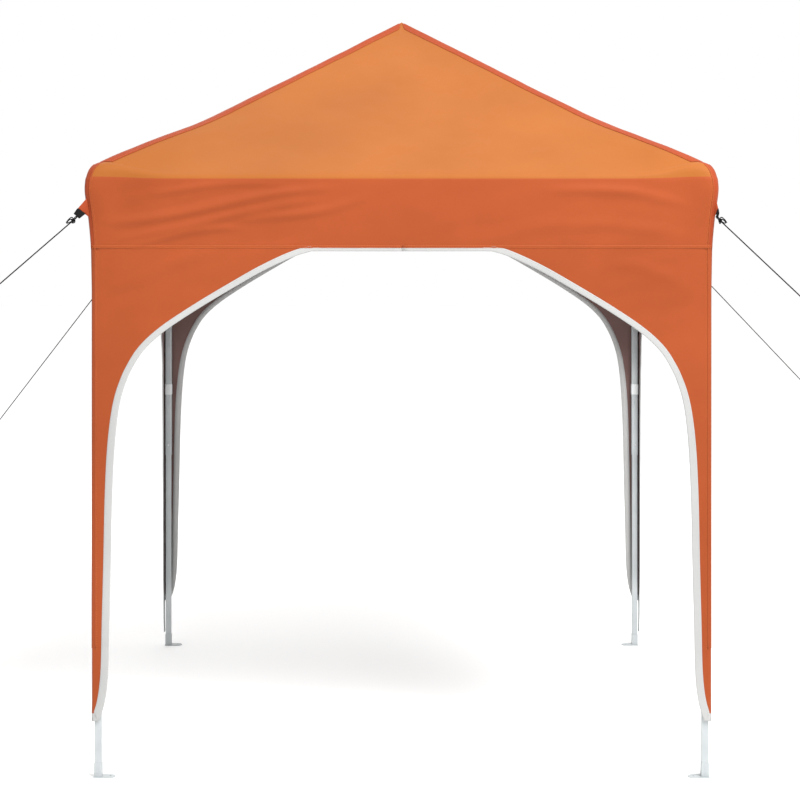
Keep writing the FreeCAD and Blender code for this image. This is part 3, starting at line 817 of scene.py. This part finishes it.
for side, side_name in enumerate(SIDES):
    for hand, hand_name in HANDS:
        drape, drape_n = drape_grids[(side, hand)]
        edge = np.concatenate([drape[:, 0], drape[-1, 5::5]])
        normal = np.concatenate([drape_n[:, 0], drape_n[-1, 5::5]])
        along = unit(np.gradient(edge, axis=0))
        inward = unit(np.cross(normal, along))
        if hand < 0:
            inward = -inward
        for _ in range(4):
            inward[1:-1] = unit(inward[:-2] + inward[1:-1] + inward[2:])
        height = edge[:, 2]
        width = TAPE_WIDTH + LEG_TAPE_EXTRA * smoothstep(1.4, 1.0, height)
        width = width + FOOT_TAPE_EXTRA * smoothstep(0.4, 0.2, height)
        rows = drape.shape[0]
        across = np.linalg.norm(drape[:, -1] - edge[:rows], axis=1)
        width[:rows] = np.minimum(width[:rows], across * 0.92 + 0.0005)
        rings = []
        for i in range(len(edge)):
            wide = width[i]
            section = [(wide, 0.0002), (wide * 0.93, TAPE_STAND), (wide * 0.5, TAPE_STAND - 0.0002),
                       (wide * 0.1, TAPE_STAND + 0.0003), (0.0, TAPE_STAND), (-0.0014, -CLOTH / 2),
                       (0.0, -TAPE_UNDER), (wide * 0.5, -TAPE_UNDER), (wide, -TAPE_UNDER),
                       (wide, -CLOTH - 0.0001)]
            rings.append([edge[i] + inward[i] * a + normal[i] * out for a, out in section])
        vertices, faces = closed_strip(rings, hand < 0)
        tape = mesh_piece(f"{side_name}_arch_binding_{hand_name}", quarter_turns(vertices, side), faces,
                          grey_tape, end_caps=2)
        ride_and_gather_side(tape, side, hand)
        stitch_line = edge + inward * (width * TAPE_STITCH_LINE)[:, None] + normal * (TAPE_STAND + 0.0002)
        binding_edges[(side, hand)] = stitch_line[:rows]

# --- Hip tapes ------------------------------------------------------------------------------------
# The hip seams are felled and covered with a folded tape of the same cloth, 40 mm to each side, with
# a row of stitches along both edges. The tape's deeper orange is painted shade on the hips.
HIP_TAPE = 0.040
HIP_TAPE_STAND = 0.0016
TAPE_ROWS = 49
TAPE_COLUMNS = 15
hip_rows = {}
for number, corner in enumerate(CORNERS):
    sx, sy = corner_signs(number)
    for part in ("outer", "peak"):
        tip = EAVE_RING - 0.003
        low, high = (HIP_POINT * tip, tip) if part == "outer" else (0.012, HIP_POINT * tip)
        s = np.linspace(low, high, TAPE_ROWS)[:, None]
        offset = np.linspace(-1, 1, TAPE_COLUMNS)[None]
        fade = np.minimum(1.0, s / 0.05)
        x = sx * (s - np.maximum(offset, 0) * HIP_TAPE * fade)
        y = sy * (s + np.minimum(offset, 0) * HIP_TAPE * fade)
        normals = roof_normal(x, y)
        points = roof_point(x, y) + normals * HIP_TAPE_STAND
        tape = cloth_piece(f"{corner}_hip_tape_{part}", TAPE_ROWS, TAPE_COLUMNS, points, normals,
                           [painted_shade_hip_orange, dark_lining], flip=sx * sy > 0)
        hip_rows[(number, part)] = (points, normals)
        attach(tape, f"{corner}_roof_{part}")

# --- Hem and corner seams -------------------------------------------------------------------------
# The drapes are joined under the valance with a flat felled seam, and each side is joined to the
# next by an upright seam a little in from the corner, from the eave to the hem.
FELL = 0.0015
HEM_SEAM = 0.011
CORNER_FELL = 0.005
seam_lines = {}


def seam_strip(name, centre, normals, width, finish, side):
    """A raised fold of cloth along a line, rounded at both edges."""
    along = unit(np.gradient(centre, axis=0))
    across = unit(np.cross(normals, along))
    section = [(-0.5, 0.0), (-0.42, 0.8), (-0.2, 1.0), (0.2, 1.0), (0.42, 0.8), (0.5, 0.0), (0.3, -0.4),
               (-0.3, -0.4)]
    rings = [[centre[i] + across[i] * a * width + normals[i] * out * FELL for a, out in section]
             for i in range(len(centre))]
    vertices, faces = closed_strip(rings)
    return mesh_piece(name, quarter_turns(vertices, side), faces, finish, end_caps=2)


for side, side_name in enumerate(SIDES):
    whole, normals = skirt_grids[side]
    for hand, hand_name in HANDS:
        hem, hem_n = whole[-1, half_of(hand)], normals[-1, half_of(hand)]
        if hand < 0:
            hem, hem_n = hem[::-1], hem_n[::-1]
        inside = np.abs(hem[:, 0]) < 1.0035
        hem, hem_n = hem[inside], hem_n[inside]
        hem = hem + np.array([0, 0, 0.003])
        strip = seam_strip(f"{side_name}_hem_seam_{hand_name}", hem, hem_n, HEM_SEAM, orange_cloth, side)
        column = int(np.argmin(np.abs(whole[-1, :, 0] - hand * CORNER_SEAM)))
        upper, upper_n = whole[SKIRT_ROWS + 1:, column], normals[SKIRT_ROWS + 1:, column]
        heights = np.linspace(SEAM - 0.01, 0.42, 90)
        half = np.interp(heights, DRAPE_HALF[0], DRAPE_HALF[1])
        q = upper[-1, 0] * np.ones_like(heights)
        flat = ring_line(np.abs(q), half, DRAPE_ROUND[0])
        lower = np.stack([q, -(flat + wrinkles(q, heights, side)), heights], axis=1)
        lower_n = np.tile(np.array([0.0, -1.0, 0.0]), (len(heights), 1))
        line = np.concatenate([upper, lower])
        line_n = np.concatenate([upper_n, lower_n])
        upright = seam_strip(f"{side_name}_corner_seam_{hand_name}", line, line_n, CORNER_FELL,
                             orange_cloth, side)
        row_apart = np.array([0, 0, 0.0035])
        seam_lines[(side, hand)] = [hem + hem_n * (FELL + 0.0002) + row_apart,
                                    hem + hem_n * (FELL + 0.0002) - row_apart,
                                    line + line_n * 0.0004 - np.array([hand * CORNER_FELL, 0, 0])]
        for piece in (strip, upright):
            ride_and_gather_side(piece, side, hand)

# --- Stitches -------------------------------------------------------------------------------------
# Lockstitch in thick polyester thread, 8 mm to a stitch: along the hem seam, the corner seams and
# the arch binding, and along both edges of the hip tapes.
STITCH_PITCH = 0.008
STITCH_SHARE = 0.62
THREAD_RADIUS = 0.00045
stitching = bpy.data.node_groups.new("stitching", "GeometryNodeTree")
for socket_name, kind, way in (("Geometry", "Geometry", "INPUT"), ("Pitch", "Float", "INPUT"),
                               ("Stitch length", "Float", "INPUT"), ("Thread", "Float", "INPUT"),
                               ("Finish", "Material", "INPUT"), ("Geometry", "Geometry", "OUTPUT")):
    stitching.interface.new_socket(name=socket_name, in_out=way, socket_type="NodeSocket" + kind)
sizes = add_node(stitching, "NodeGroupInput")
result = add_node(stitching, "NodeGroupOutput")
to_curve = add_node(stitching, "GeometryNodeMeshToCurve")
resample = add_node(stitching, "GeometryNodeResampleCurve")
resample.mode = "LENGTH"
one_stitch = add_node(stitching, "GeometryNodeMeshCylinder", {"Vertices": 5})
place = add_node(stitching, "GeometryNodeInstanceOnPoints")
tangent = add_node(stitching, "GeometryNodeInputTangent")
turn = add_node(stitching, "FunctionNodeAlignRotationToVector")
turn.axis = "Z"
realize = add_node(stitching, "GeometryNodeRealizeInstances")
set_finish = add_node(stitching, "GeometryNodeSetMaterial")
wire(stitching, (sizes, "Geometry", to_curve, "Mesh"), (to_curve, "Curve", resample, "Curve"),
     (sizes, "Pitch", resample, "Length"), (resample, "Curve", place, "Points"),
     (sizes, "Thread", one_stitch, "Radius"), (sizes, "Stitch length", one_stitch, "Depth"),
     (one_stitch, "Mesh", place, "Instance"), (tangent, "Tangent", turn, "Vector"),
     (turn, "Rotation", place, "Rotation"), (place, "Instances", realize, "Geometry"),
     (realize, "Geometry", set_finish, "Geometry"), (sizes, "Finish", set_finish, "Material"),
     (set_finish, "Geometry", result, "Geometry"))
stitch_sockets = {item.name: item.identifier for item in stitching.interface.items_tree
                  if item.in_out == "INPUT"}


def stitch_rows(name, lines, thread):
    """Rows of stitches along lines, as one plain mesh."""
    vertices, edges = [], []
    for line in lines:
        start = len(vertices)
        vertices += [tuple(p) for p in line]
        edges += [(k, k + 1) for k in range(start, len(vertices) - 1)]
    mesh = bpy.data.meshes.new(name)
    mesh.from_pydata(vertices, edges, [])
    rows = bpy.data.objects.new(name, mesh)
    bpy.context.scene.collection.objects.link(rows)
    modifier = rows.modifiers.new("stitching", "NODES")
    modifier.node_group = stitching
    modifier[stitch_sockets["Pitch"]] = STITCH_PITCH
    modifier[stitch_sockets["Stitch length"]] = STITCH_PITCH * STITCH_SHARE
    modifier[stitch_sockets["Thread"]] = THREAD_RADIUS
    modifier[stitch_sockets["Finish"]] = thread
    rows.update_tag()
    shown = rows.evaluated_get(bpy.context.evaluated_depsgraph_get())
    plain = bpy.data.meshes.new_from_object(shown)
    rows.modifiers.remove(modifier)
    rows.data = plain
    return rows


for side, side_name in enumerate(SIDES):
    for hand, hand_name in HANDS:
        seams = [quarter_turns(line, side) for line in seam_lines[(side, hand)]]
        cloth_rows = stitch_rows(f"{side_name}_seam_stitches_{hand_name}", seams, orange_thread)
        tape_rows = stitch_rows(f"{side_name}_binding_stitches_{hand_name}",
                                [quarter_turns(binding_edges[(side, hand)], side)], grey_thread)
        for piece in (cloth_rows, tape_rows):
            ride_and_gather_side(piece, side, hand)
for number, corner in enumerate(CORNERS):
    for part in ("outer", "peak"):
        points, normals = hip_rows[(number, part)]
        lines = [points[:, 1] + normals[:, 1] * 0.0003, points[:, -2] + normals[:, -2] * 0.0003]
        rows = stitch_rows(f"{corner}_hip_stitches_{part}", lines, orange_thread)
        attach(rows, f"{corner}_roof_{part}")

# --- Rope tabs ------------------------------------------------------------------------------------
# A doubled triangle of the cover's cloth is sewn in below each eave corner, and holds a folded loop
# of 20 mm black webbing, where the guy rope is tied.
TAB = [(1.0180, 1.886), (1.0100, 1.818), (1.0252, 1.832), (1.0457, 1.849)]
WEB = [(1.0457, 1.849), (1.0252, 1.832), (1.0414, 1.817), (1.0560, 1.832)]
TAB_ROOT = 1.0185
TAB_STEPS = 6
TAB_SECTION = [(0.0, 0.0), (0.03, 0.42), (0.5, 0.5), (0.97, 0.42), (1.0, 0.0), (0.97, -0.42), (0.5, -0.5),
               (0.03, -0.42)]
WEB_THICKNESS = 0.0011
WEB_WIDTH = 0.02
# The webbing runs out on one face of the tab, round its end and back on the other face.
WEB_PATH = [(-0.06, 0.0029), (0.0, 0.0028), (0.5, 0.0026), (0.85, 0.0024), (0.97, 0.0014), (1.0, 0.0),
            (0.97, -0.0014), (0.85, -0.0024), (0.5, -0.0026), (0.0, -0.0028), (-0.06, -0.0029)]


def at_corner(number, reach, height, aside):
    """A point in the upright plane of a corner's diagonal, moved aside from it."""
    sx, sy = corner_signs(number)
    half = aside / math.sqrt(2)
    return Vector((sx * reach - sy * half, sy * reach + sx * half, height))


def between(a, b, share):
    """The reach and height at a share of the way from a to b."""
    return [a[k] + (b[k] - a[k]) * share for k in (0, 1)]


def face_outwards(piece):
    """Turns the faces of a closed strip outwards."""
    mesh = bmesh.new()
    mesh.from_mesh(piece.data)
    bmesh.ops.recalc_face_normals(mesh, faces=mesh.faces)
    mesh.to_mesh(piece.data)
    mesh.free()


for number, corner in enumerate(CORNERS):
    stretch = (ROPE_TIES[number] - TAB_ROOT) / (ROPE_TIES[0] - TAB_ROOT)
    tab_shape = [(TAB_ROOT + (u - TAB_ROOT) * (stretch if u > TAB_ROOT else 1.0), z) for u, z in TAB]
    web_shape = [(TAB_ROOT + (u - TAB_ROOT) * stretch, z) for u, z in WEB]
    rings = []
    for i in range(TAB_STEPS + 1):
        t = i / TAB_STEPS
        thick = 0.0034 - 0.0010 * math.sin(math.pi * t)
        top = between(tab_shape[0], tab_shape[3], t)
        low = between(tab_shape[1], tab_shape[2], t)
        rings.append([at_corner(number, *between(top, low, share), aside * thick)
                      for share, aside in TAB_SECTION])
    # The tab takes the darker hip orange: painted shade under the eave corner.
    tab = mesh_piece(f"{corner}_rope_tab", *closed_strip(rings), painted_shade_hip_orange)
    rings = []
    for t, aside in WEB_PATH:
        inner_t = t - (WEB_THICKNESS / WEB_WIDTH if t > 0.9 else 0.0)
        inner_aside = aside - math.copysign(WEB_THICKNESS, aside) if abs(aside) > 1e-6 else 0.0
        rings.append([at_corner(number, *between(web_shape[0], web_shape[3], t), aside),
                      at_corner(number, *between(web_shape[1], web_shape[2], t), aside),
                      at_corner(number, *between(web_shape[1], web_shape[2], inner_t), inner_aside),
                      at_corner(number, *between(web_shape[0], web_shape[3], inner_t), inner_aside)])
    webbing = mesh_piece(f"{corner}_webbing_loop", *closed_strip(rings), black_webbing, smooth=False)
    for piece, slot in ((tab, "orange_fabric"), (webbing, "black_cord")):
        face_outwards(piece)
        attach(piece, f"{corner}_leg")

# --- Leg straps -----------------------------------------------------------------------------------
# A grey hook-and-loop strap on the drape closes round each upper tube, and a pale strap from the
# hem runs down the outer face of the leg to the foot.
LEG = 0.987
STRAP_LOW, STRAP_HIGH = 1.061, 1.105
STRAP_HALF = 0.0105
STRAP_ROUND = 0.0027
STRAP_BEVEL = 0.0006
CORNER_STEPS = 6
LAPPED = range(21, 27)
HEM_STRAP = [(1.0050, 0.984, 0.208), (1.0052, 0.984, 0.150), (1.0046, 0.985, 0.095), (1.0036, 0.986, 0.056)]
HEM_STRAP_HALF = 0.0088
for number, corner in enumerate(CORNERS):
    sx, sy = corner_signs(number)
    centre = Vector((sx * LEG, sy * LEG, 0))
    outline = []
    for k, (cx, cy) in enumerate(((1, 1), (-1, 1), (-1, -1), (1, -1))):
        for step in range(CORNER_STEPS + 1):
            a = math.pi / 2 * (k + step / CORNER_STEPS)
            nx, ny = math.cos(a), math.sin(a)
            outline.append((cx * STRAP_HALF + STRAP_ROUND * nx, cy * STRAP_HALF + STRAP_ROUND * ny, nx, ny))
    rings = []
    for i, (x, y, nx, ny) in enumerate(outline):
        out = 0.0012 + (0.0009 if i in LAPPED else 0.0)
        rings.append([centre + Vector((x, y, STRAP_LOW)), centre + Vector((x, y, STRAP_HIGH)),
                      centre + Vector((x + nx * out, y + ny * out, STRAP_HIGH - STRAP_BEVEL)),
                      centre + Vector((x + nx * out, y + ny * out, STRAP_LOW + STRAP_BEVEL))])
    strap = mesh_piece(f"{corner}_leg_strap", *closed_strip(rings), grey_webbing, smooth=False)
    path = smooth_path([Vector((sx * x, sy * y, z)) for x, y, z in HEM_STRAP], 10)
    rings = []
    for point in path:
        share = (point.z - 0.056) / 0.152
        lean = Vector((sx * (0.0015 + 0.0008 * share), -sy * HEM_STRAP_HALF, 0))
        out = Vector((sx * 0.0013, 0, 0))
        rings.append([point - lean, point + lean, point + lean * 0.95 + out, point + out * 1.15,
                      point - lean * 0.95 + out])
    pull_down = mesh_piece(f"{corner}_hem_strap", *closed_strip(rings), grey_webbing, smooth=False)
    for piece in (strap, pull_down):
        face_outwards(piece)
        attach(piece, f"{corner}_leg")
    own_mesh(strap)
    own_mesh(pull_down)
